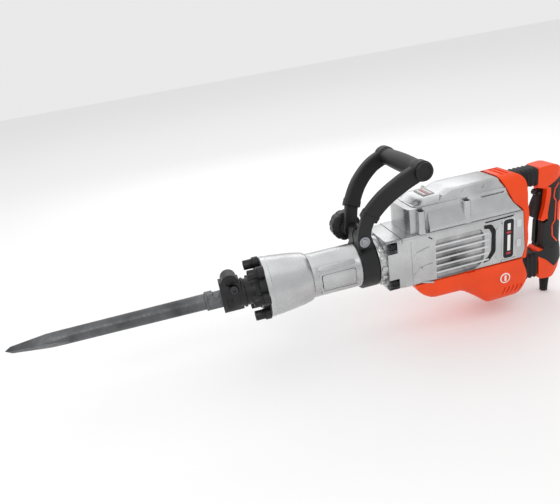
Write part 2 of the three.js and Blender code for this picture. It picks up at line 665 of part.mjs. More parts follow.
// A folded sleeve from the rear cover to the rear handle.
function bellows(low, high, halfWidth, from, to, folds) {
  const length = to - from;
  const corners = [];
  for (let i = 0; i < folds; i += 1) {
    const start = from + i * length / folds;
    const step = length / folds;
    corners.push([start, 0], [start + step * 0.25, 1], [start + step * 0.75, 1]);
  }
  corners.push([to, 0]);
  const outline = (first, last) => [
    ...corners.map(([x, out]) => [x, last - BELLOWS_DEPTH * (1 - out)]),
    ...corners.toReversed().map(([x, out]) => [x, first + BELLOWS_DEPTH * (1 - out)]),
  ];
  const side = outline(low, high);
  const plan = outline(-halfWidth, halfWidth);
  return prism('y', -halfWidth, halfWidth, side).intersect(prism('z', low, high, plan));
}

function rearHandle() {
  const outer = roundedShape([[545, 112, 3], [584, 112, 13], [601, 95, 9], [603, 60, 4], [605, 0, 4],
    [607, -40, 4], [612, -86, 6], [604, -110, 8], [588, -128, 5], [554, -124, 3], [553, -60, 3],
    [566, -58, 6], [569, -30, 4], [569, 30, 4], [566, 66, 5], [545, 70, 3]]);
  const half = HANDLE_HALF;
  const shell = prism('y', -half, half, outer);
  const plan = roundedShape([[540, -half, 3], [613, -half, 14], [613, half, 14], [540, half, 3]]);
  const section = prism('z', -140, 130, plan);
  const frame = cut(shell.intersect(section), cut(handZone(), gripCore()));
  const { low, high, halfWidth, rear } = TRIGGER_ROOM;
  const triggerRoom = box([540, -halfWidth, low], [rear, halfWidth, high]);
  const switchRoom = box([rear - 1, -8, low + 5], [600.5, 8, high - 7]);
  const cordHole = disc('z', 5, -140, -100, 14, [GRIP.x, 0]);
  return cut(frame, triggerRoom, switchRoom, cordHole);
}

// The upright stretch that the hand closes round, in front of the orange back.
function handZone() {
  const back = GRIP.x + GRIP.halfDepth;
  return box([560, -30, GRIP.low], [back, 30, GRIP.high]);
}

// The stiff core inside the soft grip, grown by `extra` all round.
function gripCore(extra = 0) {
  const { front, rear, halfWidth } = GRIP_CORE;
  return box([front - extra, -halfWidth - extra, GRIP.low - 1],
    [rear + extra, halfWidth + extra, GRIP.high + 1]);
}

function rearGrip() {
  const { x, halfDepth, halfWidth, low, high } = GRIP;
  const outline = new THREE.Shape();
  outline.absellipse(x, 0, halfDepth - GAP, halfWidth, 0, 2 * Math.PI);
  const sleeve = prism('z', low + GAP, high - GAP, outline);
  const flatBack = box([x + halfDepth - 2, -30, -80], [x + halfDepth + 18, 30, 80]);
  return cut(sleeve, gripCore(GAP), flatBack);
}

function triggerLever() {
  const side = roundedShape([[561, 62, 3], [576, 60, 3], [574, 30, 0], [570, 4, 3], [556, 2, 2],
    [541, 12, 3], [549, 40, 0]]);
  const lug = disc('y', LOCK.radius + 2, -6.3, 6.3, 16, [LOCK.x, LOCK.z]);
  const hole = disc('y', LOCK.radius + SLIP, -8, -1, 14, [LOCK.x, LOCK.z]);
  return cut(prism('y', -6.3, 6.3, side).add(lug), hole);
}

// The button in the trigger's lug that holds the trigger pressed.
function lockButton() {
  return disc('y', LOCK.radius, -10, -4.5, 14, [LOCK.x, LOCK.z]);
}

// The switch that the trigger presses, in the rear of the trigger's room.
function powerSwitch() {
  return box([588, -7.6, 6], [600, 7.6, 56]);
}

function addRearHandle() {
  add('rear_handle', rearHandle(), MATERIALS.orangePlastic);
  add('rear_grip', rearGrip(), MATERIALS.rubber);
  add('trigger', triggerLever(), MATERIALS.blackPlastic);
  add('lock_button', lockButton(), MATERIALS.blackPlastic);
  add('power_switch', powerSwitch(), MATERIALS.blackPlastic);
  add('bellows_upper', bellows(76, 110, 19, 502.4, 544.6, 5), MATERIALS.rubber);
  add('bellows_lower', bellows(-122, -66, 19, 508.4, 552.6, 5), MATERIALS.rubber);
  const guard = [[3.8, -166], [7.5, -166], [10, -129], [10, -128.4], [4.6, -128.4], [4.6, -110],
    [3.8, -110]];
  add('cord_guard', turned('z', guard, 14, [GRIP.x, 0]), MATERIALS.rubber);
}

// ---------------------------------------------------------------- build

addRetainer();
addStriker();
addCrank();
addLayshaft();
addMotor();
addHousings();
addSideHandle();
addRearHandle();

// The object's origin is the middle of its own box, at its lowest level.
const bounds = new THREE.Box3().setFromObject(hammer);
hammer.position.set(-(bounds.min.x + bounds.max.x) / 2, 0, -bounds.min.z);

export default hammer;
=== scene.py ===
"""Electric jackhammer: the visible surfaces, materials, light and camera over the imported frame.

Shapes are given in millimetres from the middle of the cylinder case's front face, with +X towards
the rear handle, -Y towards the camera and +Z up.
"""
import json
from math import cos, pi, radians, sin, sqrt
import bmesh
import bpy
from mathutils import Matrix, Vector


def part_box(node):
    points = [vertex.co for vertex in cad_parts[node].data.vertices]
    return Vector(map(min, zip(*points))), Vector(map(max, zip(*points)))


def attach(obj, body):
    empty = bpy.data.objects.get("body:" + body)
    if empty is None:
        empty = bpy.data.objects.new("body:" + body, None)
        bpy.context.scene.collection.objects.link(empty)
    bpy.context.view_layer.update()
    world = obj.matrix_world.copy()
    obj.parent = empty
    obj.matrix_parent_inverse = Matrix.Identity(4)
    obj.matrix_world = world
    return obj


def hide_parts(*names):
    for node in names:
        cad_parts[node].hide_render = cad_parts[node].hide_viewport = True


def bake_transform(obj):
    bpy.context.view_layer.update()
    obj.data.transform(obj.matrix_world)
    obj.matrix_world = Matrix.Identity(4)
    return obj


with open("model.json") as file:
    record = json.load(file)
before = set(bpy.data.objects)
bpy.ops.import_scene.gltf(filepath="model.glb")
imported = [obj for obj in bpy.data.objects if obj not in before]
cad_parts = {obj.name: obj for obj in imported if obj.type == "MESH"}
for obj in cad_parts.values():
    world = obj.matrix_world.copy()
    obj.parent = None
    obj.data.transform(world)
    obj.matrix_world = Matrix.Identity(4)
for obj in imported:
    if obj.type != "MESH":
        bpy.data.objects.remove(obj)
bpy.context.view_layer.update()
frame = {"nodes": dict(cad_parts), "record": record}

MM = 0.001
case_low, case_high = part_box("cylinder_case")
ORIGIN = Vector((case_low[0], 0.0, (case_low[2] + case_high[2]) / 2))

HOUSING_HALF = 50  # half-width of the square housings
PIVOT = (184, 57.5)  # the side handle's pivot, in X and Z
CROSSBAR = (281, 173.5)  # the side handle's crossbar, in X and Z
GRIP = (584, 0)  # the upright rear grip, in X and Y
LOCK = (555, 57)  # the lug at the trigger's top, in X and Z
FLOOR = -166.2


def middle_of(node):
    """The middle of a node's box, in the script's own millimetres."""
    low, high = [(Vector(corner) - ORIGIN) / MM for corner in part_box(node)]
    return tuple((low + high) / 2)


# ---------------------------------------------------------------- outlines

AXES = {
    "x": lambda along, u, v: (along, u, v),
    "y": lambda along, u, v: (u, along, v),
    "z": lambda along, u, v: (u, v, along),
}


def circle(radius, sides=72, centre=(0, 0)):
    """A round outline."""
    turns = [2 * pi * i / sides for i in range(sides)]
    return [(centre[0] + radius * cos(t), centre[1] + radius * sin(t)) for t in turns]


def ellipse(half_u, half_v, sides=72, centre=(0, 0)):
    """An oval outline."""
    turns = [2 * pi * i / sides for i in range(sides)]
    return [(centre[0] + half_u * cos(t), centre[1] + half_v * sin(t)) for t in turns]


def rounded(corners, steps=6):
    """An outline whose corners (u, v, radius) are rounded with quadratic curves."""
    outline = []
    count = len(corners)
    for i, (u, v, radius) in enumerate(corners):
        here = Vector((u, v))
        before = Vector(corners[i - 1][:2]) - here
        after = Vector(corners[(i + 1) % count][:2]) - here
        if radius == 0:
            outline.append((u, v))
            continue
        start = here + before.normalized() * min(radius, before.length * 0.49)
        end = here + after.normalized() * min(radius, after.length * 0.49)
        for step in range(steps + 1):
            t = step / steps
            point = start * (1 - t) ** 2 + here * 2 * t * (1 - t) + end * t ** 2
            outline.append(tuple(point))
    return outline


def rectangle(low_u, high_u, low_v, high_v, radius, steps=6):
    """A rectangle with rounded corners."""
    corners = [(low_u, low_v), (high_u, low_v), (high_u, high_v), (low_u, high_v)]
    return rounded([(u, v, radius) for u, v in corners], steps)


def hexagon(width, centre=(0, 0)):
    """A hexagon with two level flats, by its width across the flats."""
    corner = width / sqrt(3)
    return [(centre[0] + corner * cos(i * pi / 3), centre[1] + corner * sin(i * pi / 3)) for i in range(6)]


def smooth_path(points, steps):
    """Points along a Catmull-Rom curve through the given points."""
    points = [Vector(p) for p in points]
    padded = [2 * points[0] - points[1], *points, 2 * points[-1] - points[-2]]
    path = []
    for i in range(1, len(padded) - 2):
        a, b, c, d = padded[i - 1:i + 3]
        for step in range(steps):
            t = step / steps
            path.append(0.5 * (2 * b + (c - a) * t + (2 * a - 5 * b + 4 * c - d) * t ** 2
                               + (3 * b - a - 3 * c + d) * t ** 3))
    return [*path, points[-1]]


# ---------------------------------------------------------------- solids

def mesh_object(points, faces):
    """A new object from points in millimetres and faces of their numbers."""
    mesh = bpy.data.meshes.new("shape")
    mesh.from_pydata([ORIGIN + Vector(point) * MM for point in points], [], faces)
    obj = bpy.data.objects.new("shape", mesh)
    bpy.context.collection.objects.link(obj)
    return obj


def loft(rings, looped=False):
    """A closed skin over rings of equally many points, capped at both ends unless it is looped."""
    count = len(rings[0])
    points = [point for ring in rings for point in ring]
    faces = []
    spans = len(rings) if looped else len(rings) - 1
    for i in range(spans):
        here = i * count
        there = ((i + 1) % len(rings)) * count
        for j in range(count):
            k = (j + 1) % count
            faces.append((here + j, here + k, there + k, there + j))
    if not looped:
        faces.append(tuple(reversed(range(count))))
        faces.append(tuple(range(len(points) - count, len(points))))
    obj = mesh_object(points, faces)
    face_outwards(obj)
    return obj


def face_outwards(obj):
    """Turns every face's normal away from the solid."""
    shape = bmesh.new()
    shape.from_mesh(obj.data)
    bmesh.ops.recalc_face_normals(shape, faces=shape.faces)
    shape.to_mesh(obj.data)
    shape.free()


def prism(axis, low, high, outline):
    lay = AXES[axis]
    return loft([[lay(along, u, v) for u, v in outline] for along in (low, high)])


def turned(axis, profile, sides=72, centre=(0, 0), tube=False):
    """A solid of revolution from (radius, place along the axis) points."""
    lay = AXES[axis]
    rings = []
    for radius, along in profile:
        rings.append([lay(along, u, v) for u, v in circle(max(radius, 0.05), sides, centre)])
    return loft(rings, tube)


def block(low, high):
    """A box between two opposite corners, as a cutting tool."""
    outline = [(low[1], low[2]), (high[1], low[2]), (high[1], high[2]), (low[1], high[2])]
    return prism("x", low[0], high[0], outline)


def combined(base, tools, operation):
    """Joins, cuts or intersects solids, one after another, into the first one."""
    for tool in tools:
        modifier = base.modifiers.new("combine", "BOOLEAN")
        modifier.object = tool
        modifier.operation = operation
        modifier.solver = "EXACT"
        view = bpy.context.evaluated_depsgraph_get()
        mesh = bpy.data.meshes.new_from_object(base.evaluated_get(view))
        base.modifiers.clear()
        base.data = mesh
        bpy.data.objects.remove(tool)
    return base


def join(base, *tools):
    """Adds solids to the first one."""
    return combined(base, tools, "UNION")


def cut(base, *tools):
    """Takes solids away from the first one."""
    return combined(base, tools, "DIFFERENCE")


def common(base, *tools):
    """Keeps only what all the solids share."""
    return combined(base, tools, "INTERSECT")


def merged(*objects):
    """Several separate solids as one object."""
    points = []
    faces = []
    for obj in objects:
        start = len(points)
        points.extend((vertex.co - ORIGIN) / MM for vertex in obj.data.vertices)
        faces.extend(tuple(start + i for i in face.vertices) for face in obj.data.polygons)
        bpy.data.objects.remove(obj)
    return mesh_object(points, faces)


def mirrored(obj):
    """A copy of the solid on the other side of the middle plane."""
    points = [(vertex.co - ORIGIN) / MM for vertex in obj.data.vertices]
    faces = [tuple(reversed(face.vertices)) for face in obj.data.polygons]
    return mesh_object([(x, -y, z) for x, y, z in points], faces)


def piece(name, obj, material, body, replaces=(), bevel=1.0, smooth=35, segments=2):
    """Finishes a solid as a named piece: rounded edges, smooth shading, material and body."""
    obj.name = name
    obj.data.name = name
    obj.data.materials.clear()
    obj.data.materials.append(MATERIALS[material])
    obj.data.shade_smooth()
    obj.data.set_sharp_from_angle(angle=radians(smooth))
    if bevel:
        modifier = obj.modifiers.new("edges", "BEVEL")
        modifier.width = bevel * MM
        modifier.segments = segments
        modifier.limit_method = "ANGLE"
        modifier.angle_limit = radians(smooth)
        modifier.use_clamp_overlap = True
        modifier.harden_normals = True
    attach(obj, body)
    if replaces:
        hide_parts(*replaces)
    return obj


# ---------------------------------------------------------------- materials

def make_material(name, color, metallic, rough, grain, mottle=0.12, bump=0.15, sheen=0.5, dust_and_painted_light=None):
    """A surface with uneven colour, uneven gloss and a fine relief.

    grain is the size of the relief in millimetres, mottle the share by which the colour varies,
    and the optional lighter colour shows in broad faint patches: real dust on the forged steel, painted
    light on the vent panel.
    """
    material = bpy.data.materials.new(name)
    material.use_nodes = True
    nodes = material.node_tree.nodes
    links = material.node_tree.links
    shader = nodes["Principled BSDF"]
    shader.inputs["Metallic"].default_value = metallic
    shader.inputs["Specular IOR Level"].default_value = sheen
    place = nodes.new("ShaderNodeTexCoord").outputs["Object"]

    def noise(size_mm, detail):
        node = nodes.new("ShaderNodeTexNoise")
        node.inputs["Scale"].default_value = 1000 / size_mm
        node.inputs["Detail"].default_value = detail
        links.new(place, node.inputs["Vector"])
        return node.outputs["Fac"]

    broad = noise(55, 4)
    fine = noise(grain, 3)
    ramp = nodes.new("ShaderNodeValToRGB")
    ramp.color_ramp.elements[0].position = 0.3
    ramp.color_ramp.elements[1].position = 0.7
    ramp.color_ramp.elements[0].color = (*[c * (1 - mottle) for c in color], 1)
    lighter = dust_and_painted_light or [min(1, c * (1 + mottle)) for c in color]
    ramp.color_ramp.elements[1].color = (*lighter, 1)
    links.new(broad, ramp.inputs["Fac"])
    links.new(ramp.outputs["Color"], shader.inputs["Base Color"])
    spread = nodes.new("ShaderNodeMapRange")
    spread.inputs["From Min"].default_value = 0.3
    spread.inputs["From Max"].default_value = 0.7
    spread.inputs["To Min"].default_value = max(0.02, rough - 0.07)
    spread.inputs["To Max"].default_value = rough + 0.09
    links.new(fine, spread.inputs["Value"])
    links.new(spread.outputs["Result"], shader.inputs["Roughness"])
    relief = nodes.new("ShaderNodeBump")
    relief.inputs["Strength"].default_value = bump
    relief.inputs["Distance"].default_value = grain * MM * 0.3
    links.new(fine, relief.inputs["Height"])
    links.new(relief.outputs["Normal"], shader.inputs["Normal"])
    return material


MATERIALS = {
    "forged": make_material("forged_steel", (0.085, 0.09, 0.095), 0.85, 0.42, 5, 0.3, 0.5,
                            dust_and_painted_light=(0.16, 0.165, 0.17)),
    "silver": make_material("silver_casting", (0.50, 0.505, 0.51), 0.92, 0.3, 1.4, 0.14, 0.1),
    "silver_bright": make_material("silver_polished", (0.62, 0.63, 0.64), 1.0, 0.16, 1.2, 0.1, 0.05),
    # Painted shade and painted highlight: the dark base colour stands in for the shade inside the vent
    # recess, the light patches for reflected light.
    "vent_painted_light": make_material("vent_painted_light", (0.16, 0.16, 0.165), 1.0, 0.22, 1.2, 0.5, 0.05,
                                dust_and_painted_light=(0.55, 0.55, 0.55)),
    "black_casting": make_material("black_casting", (0.01, 0.01, 0.011), 0.1, 0.42, 1.6, 0.3, 0.3,
                                   sheen=0.4),
    "black_screw": make_material("black_screw", (0.02, 0.02, 0.022), 0.6, 0.34, 1.0, 0.3, 0.15),
    "steel": make_material("machined_steel", (0.3, 0.31, 0.33), 1.0, 0.3, 0.8, 0.1, 0.1),
    "dark_steel": make_material("dark_steel", (0.05, 0.05, 0.055), 0.8, 0.4, 1.2, 0.2, 0.2),
    "copper": make_material("copper", (0.62, 0.27, 0.12), 1.0, 0.35, 0.9, 0.15, 0.3),
    "orange": make_material("orange_plastic", (0.83, 0.062, 0.005), 0.0, 0.36, 0.9, 0.07, 0.1, sheen=0.3),
    "black_plastic": make_material("black_plastic", (0.008, 0.008, 0.009), 0.0, 0.4, 0.8, 0.25, 0.2,
                                   sheen=0.35),
    "rubber": make_material("black_rubber", (0.009, 0.009, 0.01), 0.0, 0.5, 0.7, 0.3, 0.35, sheen=0.35),
    "label": make_material("label_black", (0.008, 0.008, 0.01), 0.0, 0.2, 2.0, 0.2, 0.03, sheen=0.3),
    "label_grey": make_material("label_grey", (0.24, 0.22, 0.23), 0.1, 0.25, 2.0, 0.1, 0.03),
    "label_red": make_material("label_red", (0.5, 0.02, 0.03), 0.0, 0.25, 2.0, 0.1, 0.03),
    "white": make_material("print_white", (0.82, 0.8, 0.78), 0.0, 0.35, 1.5, 0.05, 0.05),
    "shadow": make_material("vent_shadow", (0.012, 0.012, 0.012), 0.0, 0.7, 1.5, 0.2, 0.2),
    "nylon": make_material("nylon", (0.5, 0.48, 0.42), 0.0, 0.45, 1.2, 0.1, 0.2),
}

CARRIED = {
    "steel": "steel", "bearing_steel": "steel", "copper": "copper", "rubber": "rubber",
    "carbon": "shadow", "nylon": "nylon", "black_plastic": "black_plastic", "forged": "forged",
    "cast_aluminium": "silver", "black_casting": "black_casting", "black_screw": "black_screw",
    "orange_plastic": "orange",
}


def dress_carried_nodes():
    """Gives every CAD node a detailed material in place of its plain one."""
    for part in frame["record"]["subparts"]:
        obj = frame["nodes"][part["node"]]
        obj.data.materials.clear()
        obj.data.materials.append(MATERIALS[CARRIED[part["material_slot"]]])


# ---------------------------------------------------------------- chisel and tool retainer

COLLAR = -104  # front end of the chisel's hexagonal shank
HEX = 30  # its width across the flats
PIN = (-56, 18.5)  # the retainer pin, in X and Z
BOSS = (-61, 31)  # the cross boss over it, in X and Z
BOLT_CIRCLE = 47
COVER_BOLTS = 6


def make_chisel():
    """A round bar drawn out to four flats, on a hexagonal shank with a notch for the pin."""
    bar = turned("x", [(13.2, -460), (13.2, -345), (14.6, -110), (17.3, -109), (17.6, -107.5),
                       (17.6, -105.5), (16.8, COLLAR), (14.8, COLLAR), (14.8, -97)], 64)
    angle = radians(38)
    flats = []
    for x, half in ((-452.6, 0.25), (-442.5, 4.4), (-290, 17.2), (-288, 40), (-90, 40)):
        reach = half * sqrt(2)
        turns = [angle + pi / 4 + i * pi / 2 for i in range(4)]
        flats.append([(x, reach * cos(t), reach * sin(t)) for t in turns])
    drawn = common(bar, loft(flats))
    shank = prism("x", COLLAR, -3, hexagon(HEX))
    notch = prism("y", -20, 20, rounded([(-95, 16, 0), (-95, 10, 4), (-24, 10, 4), (-24, 16, 0)]))
    piece("chisel_bar", cut(join(drawn, shank), notch), "forged", "chisel", ["chisel"], bevel=0.8)


def bolt_place(i):
    """Y and Z of one of the six places round the retainer's flange."""
    angle = pi / 6 + i * pi / 3
    return BOLT_CIRCLE * sin(angle), BOLT_CIRCLE * cos(angle)


def make_front_cover():
    """The black casting that holds the retainer pin: block, cross boss, neck and lobed flange."""
    section = rounded([(12, 33, 4), (-12, 33, 4), (-22, 15, 5), (-22, -8, 6), (-12, -28, 6),
                       (12, -28, 6), (22, -8, 6), (22, 15, 5)], 4)
    casting = prism("x", -80, -44, section)
    boss = turned("y", [(12.5, -15), (14.5, -14), (14.5, 14), (12.5, 15)], 48, BOSS)
    neck = turned("x", [(24.5, -48), (24.5, -22), (26, -17), (31, -12.5), (40, -11.6), (40, -0.6)], 72)
    casting = join(casting, boss, neck)
    for i in range(COVER_BOLTS):
        casting = join(casting, turned("x", [(11.3, -11.5), (11.3, -0.6)], 40, bolt_place(i)))
    bore = prism("x", -85, 2, hexagon(HEX + 1))
    pin_bore = turned("y", [(8.4, -30), (8.4, 30)], 40, PIN)
    casting = cut(casting, bore, pin_bore)
    for side in (-1, 1):
        slot = prism("z", -20, 5, rectangle(-72, -62, side * 20.5 - 3, side * 20.5 + 3, 2))
        casting = cut(casting, slot)
    casting = cut(casting, turned("y", [(7, -20), (7, -12.5)], 40, BOSS))
    casting = cut(casting, prism("y", -12, 12, rectangle(-83, -76, 22, 29, 2)))
    piece("tool_retainer", casting, "black_casting", "body", ["front_cover"], bevel=1.1)
    rib = turned("x", [(26.5, -42), (27, -41), (27, -38), (26.5, -37)], 64)
    hollow = turned("x", [(24, -44), (24, -35)], 64)
    piece("retainer_neck_ring", cut(rib, hollow), "black_casting", "body", bevel=0.5)


def make_retainer_pin():
    """The half-round pin that holds the shank, with its lever on the far side."""
    pin = turned("y", [(6.6, -24.6), (8, -23.2), (8, 25)], 40, PIN)
    flat = block((PIN[0] - 10, -19, PIN[1] + 2.9), (PIN[0] + 10, 19, PIN[1] + 10))
    groove = turned("y", [(3, -26), (3, -22.5)], 32, PIN)
    pin = cut(pin, flat, groove)
    hub = turned("y", [(9.5, 24.4), (9.5, 31)], 40, PIN)
    lever = prism("y", 24.4, 31, rounded([(PIN[0] - 5, PIN[1], 0), (PIN[0] - 4.5, PIN[1] - 33, 4),
                                           (PIN[0] + 4.5, PIN[1] - 33, 4), (PIN[0] + 5, PIN[1], 0)]))
    piece("retainer_lever_pin", join(pin, hub, lever), "dark_steel", "retainer", ["retainer_pin"],
          bevel=0.6)


def cap_screw(axis, under_head, radius, length, socket, centre, washer=0.0, sign=-1):
    """A knurled socket-head screw whose head stands out from the seat along the axis."""
    lay = AXES[axis]
    rings = []
    ridges = 36
    start = under_head + sign * washer
    for along, share in ((0.0, 1.0), (length - 1.2, 1.0), (length, 0.9)):
        ring = []
        for i in range(ridges * 2):
            turn = pi * i / ridges
            knurl = radius * share * (1.0 if i % 2 else 0.965)
            u = centre[0] + knurl * cos(turn)
            v = centre[1] + knurl * sin(turn)
            ring.append(lay(start + sign * along, u, v))
        rings.append(ring)
    head = loft(rings)
    top = start + sign * length
    low, high = sorted((top - sign * length * 0.55, top + sign * 1))
    head = cut(head, prism(axis, low, high, hexagon(socket, centre)))
    if washer:
        low, high = sorted((under_head, start))
        return merged(head, turned(axis, [(radius * 1.03, low), (radius * 1.03, high)], 48, centre))
    return head


def make_cover_bolts():
    """The six screws that hold the tool retainer to the cylinder case."""
    for i in range(COVER_BOLTS):
        node = f"cover_bolt_{i + 1}"
        centre = middle_of(node)[1:]
        screw = cap_screw("x", -11.6, 9.0, 14.4, 9, centre, washer=3)
        piece(f"cover_screw_{i + 1}", screw, "black_screw", "body", [node], bevel=0.35, smooth=50)


# ---------------------------------------------------------------- cylinder case

def make_cylinder_case():
    """The silver cone and barrel, its ring and the square plate with a pocket at each corner."""
    profile = [(55.2, -0.2), (56, 0.8), (56, 8.2), (55.2, 9), (54.6, 22.5), (54.2, 24), (52, 44),
               (49.2, 64), (48.2, 67), (47.2, 74), (45.2, 80), (42.6, 83.4), (41, 84.4), (41, 87),
               (41.3, 88), (41.3, 92), (41, 93), (41, 172), (41.6, 173), (41.6, 175.5), (41, 176.5),
               (41, 206), (43, 207), (46.8, 208), (47.4, 209.2), (47.4, 218.5), (46, 220.5),
               (46, 226)]
    casting = turned("x", profile, 128)
    plate = prism("x", 221, 250, rounded([(50, 49, 9), (-50, 49, 9), (-50, -49, 9), (50, -49, 9)]))
    casting = join(casting, plate)
    for y in (-41, 41):
        for z in (-36, 36):
            pocket = turned("x", [(10.5, 219), (10.5, 240)], 48, (y, z))
            outside = sorted((y, 2 * y))
            way = block((219, outside[0], z - 10.5), (240, outside[1], z + 10.5))
            casting = cut(casting, pocket, way)
    piece("cylinder_casting", casting, "silver", "body", ["cylinder_case"], bevel=1.4)
    for i in range(4):
        node = f"case_bolt_{i + 1}"
        centre = middle_of(node)[1:]
        screw = cap_screw("x", 239.7, 6.4, 7.5, 6, centre, washer=1.6)
        piece(f"plate_screw_{i + 1}", screw, "black_screw", "body", [node], bevel=0.3, smooth=50)


def barrel_pad(name, start, end, middle, half_angle, low_radius, high_radius, material="silver"):
    """A curved pad that lies on the barrel around the angle `middle`, counted from +Y."""
    outline = rectangle(start, end, -half_angle, half_angle, min(6, half_angle * 0.8), 5)
    rings = []
    for radius in (low_radius, high_radius):
        ring = []
        for x, degrees in outline:
            turn = radians(middle + degrees)
            ring.append((x, radius * cos(turn), radius * sin(turn)))
        rings.append(ring)
    inner = []
    for x, degrees in outline:
        shrink_x = (start + end) / 2 + (x - (start + end) / 2) * 0.97
        turn = radians(middle + degrees * 0.93)
        inner.append((shrink_x, (high_radius + 0.25) * cos(turn), (high_radius + 0.25) * sin(turn)))
    return piece(name, loft([*rings, inner]), material, "body", bevel=0.0, smooth=60)


def make_barrel_pads():
    """The raised pads on both sides of the barrel and the tabs on its ring."""
    for side, middle in (("near", 180), ("far", 0)):
        up = -1 if side == "near" else 1
        barrel_pad(f"barrel_pad_{side}", 95, 166, middle, 24, 40, 42.3)
        barrel_pad(f"barrel_line_{side}", 98.5, 162.5, middle, 20, 41.8, 42.45, "shadow")
        barrel_pad(f"barrel_panel_{side}", 99.5, 161.5, middle, 18.8, 42, 43.0)
        barrel_pad(f"barrel_strip_{side}", 96, 164, middle + up * 35, 6, 40, 42.6)
        barrel_pad(f"barrel_low_strip_{side}", 96, 164, middle - up * 35, 6, 40, 42.6)
        for i in range(5):
            turn = middle + up * (-44 + 22 * i)
            barrel_pad(f"case_ring_tab_{side}_{i + 1}", 209, 219.5, turn, 6, 46, 50.5)


# ---------------------------------------------------------------- side handle

# The right arm's middle line, from the pivot to the crossbar.
ARM = [(184, 34, 57.5), (188, 35, 80), (197, 44, 106), (219, 58, 136), (250, 69, 160), (281, 71, 173.5)]


def sweep(path, section):
    """A bar along a path, with one section of (across, thick) points all along it."""
    rings = []
    count = len(path)
    for i, point in enumerate(path):
        along = (path[min(i + 1, count - 1)] - path[max(i - 1, 0)]).normalized()
        across = along.cross(Vector((0, 1, 0))).normalized()
        thick = across.cross(along).normalized()
        rings.append([tuple(point + across * u + thick * v) for u, v in section])
    return loft(rings)


def make_side_handle():
    """Two flat bars that spread from the pivot up to a round grip, with soft sleeves."""
    path = smooth_path(ARM, 8)
    sleeve_start = 15
    bar_section = rectangle(-12, 12, -6, 6, 2.5, 3)
    sleeve_section = rectangle(-14.5, 14.5, -9.2, 9.2, 5, 5)
    for side, tag in ((1, "right"), (-1, "left")):
        bar = sweep(path[:sleeve_start + 3], bar_section)
        eye = turned("y", [(12, 28), (12, 40)], 48, PIVOT)
        hole = turned("y", [(6.4, 20), (6.4, 50)], 32, PIVOT)
        bar = cut(join(bar, eye), hole)
        sleeve = sweep(path[sleeve_start:-3], sleeve_section)
        lip_section = rectangle(-15.5, 15.5, -10, 10, 5, 5)
        lip = sweep(path[sleeve_start - 1:sleeve_start + 3], lip_section)
        boss = turned("y", [(15.6, 61.4), (17.4, 62.6), (17.4, 79), (16.2, 80.4)], 56, CROSSBAR)
        sleeve = join(sleeve, boss)
        cap = turned("y", [(14.5, 80), (15.6, 81), (15.6, 84.5), (13.8, 86), (10.5, 86), (10, 84.6),
                           (3, 84.4)], 56, CROSSBAR)
        parts = [("arm_bar", bar, "black_casting", 1.0, ["arm_" + tag]),
                 ("arm_sleeve", sleeve, "rubber", 0, []),
                 ("arm_lip", lip, "rubber", 0.6, []), ("grip_cap", cap, "black_plastic", 0.5, [])]
        for name, obj, material, bevel, nodes in parts:
            if side < 0:
                flipped = mirrored(obj)
                bpy.data.objects.remove(obj)
                obj = flipped
            piece(f"{name}_{tag}", obj, material, "side_handle", nodes, bevel=bevel)
    profile = [(15.4, -62.4), (16.2, -61.6), (16.2, -58), (15.2, -56.6)]
    for i in range(9):
        share = -1 + i / 4
        profile.append((16.6 - 1.6 * share ** 2, share * 54))
    profile.extend([(15.2, 56.6), (16.2, 58), (16.2, 61.6), (15.4, 62.4)])
    grip = turned("y", profile, 64, CROSSBAR)
    piece("side_grip_cover", grip, "rubber", "side_handle", ["side_grip", "crossbar"], bevel=0, smooth=40)


def make_clamp():
    """The split band round the barrel, its bolt and the round knob that tightens it."""
    band = turned("x", [(46, 177), (47, 178.2), (47, 204.8), (46, 206)], 96)
    ears = prism("y", -27, 27, rounded([(177, 30, 0), (177, 70, 11), (200, 70, 9), (206, 44, 4),
                                        (206, 30, 0)]))
    band = join(band, ears)
    bore = turned("x", [(41.7, 170), (41.7, 215)], 96)
    split = block((170, -2.5, 20), (215, 2.5, 80))
    hole = turned("y", [(6.4, -40), (6.4, 40)], 32, PIVOT)
    band = cut(band, bore, split, hole)
    piece("clamp_casting", band, "black_casting", "clamp", ["clamp_band"], bevel=1.2)
    bolt = turned("y", [(5.2, -44.6), (6.2, -43.8), (6.4, -42), (9.8, -41.6), (9.8, -40.4),
                        (6, -40.2), (6, 60)], 48, PIVOT)
    piece("clamp_bolt", bolt, "steel", "clamp", ["pivot_bolt"], bevel=0.3)
    lay = AXES["y"]
    rings = []
    sides = 120
    for radius, y, wave in ((13, 42, 0), (14.5, 43, 0), (14.5, 49.5, 0), (25, 50.5, 0.6), (28.6, 53.5, 1.4),
                            (28.9, 71, 1.4), (27, 75, 1.0), (23.5, 76.2, 0), (16, 76.2, 0), (15, 74.6, 0),
                            (3, 74.4, 0)):
        ring = []
        for i in range(sides):
            turn = 2 * pi * i / sides
            reach = radius - wave * max(0, cos(12 * turn)) ** 2
            ring.append(lay(y, PIVOT[0] + reach * cos(turn), PIVOT[1] + reach * sin(turn)))
        rings.append(ring)
    piece("clamp_knob", loft(rings), "black_plastic", "knob", ["knob"], bevel=0, smooth=40)


# ---------------------------------------------------------------- crank case

# The bracket-shaped vent behind the ribs, in X and Z.
BRACKET_VENT = [(410, 38, 2), (426, 37, 4), (435, 24, 4), (435, -20, 4), (422, -36, 4), (409, -38, 2),
                (411, -31, 2), (418, -28, 3), (425, -16, 3), (426, 18, 3), (421, 29, 3), (410, 31, 2)]


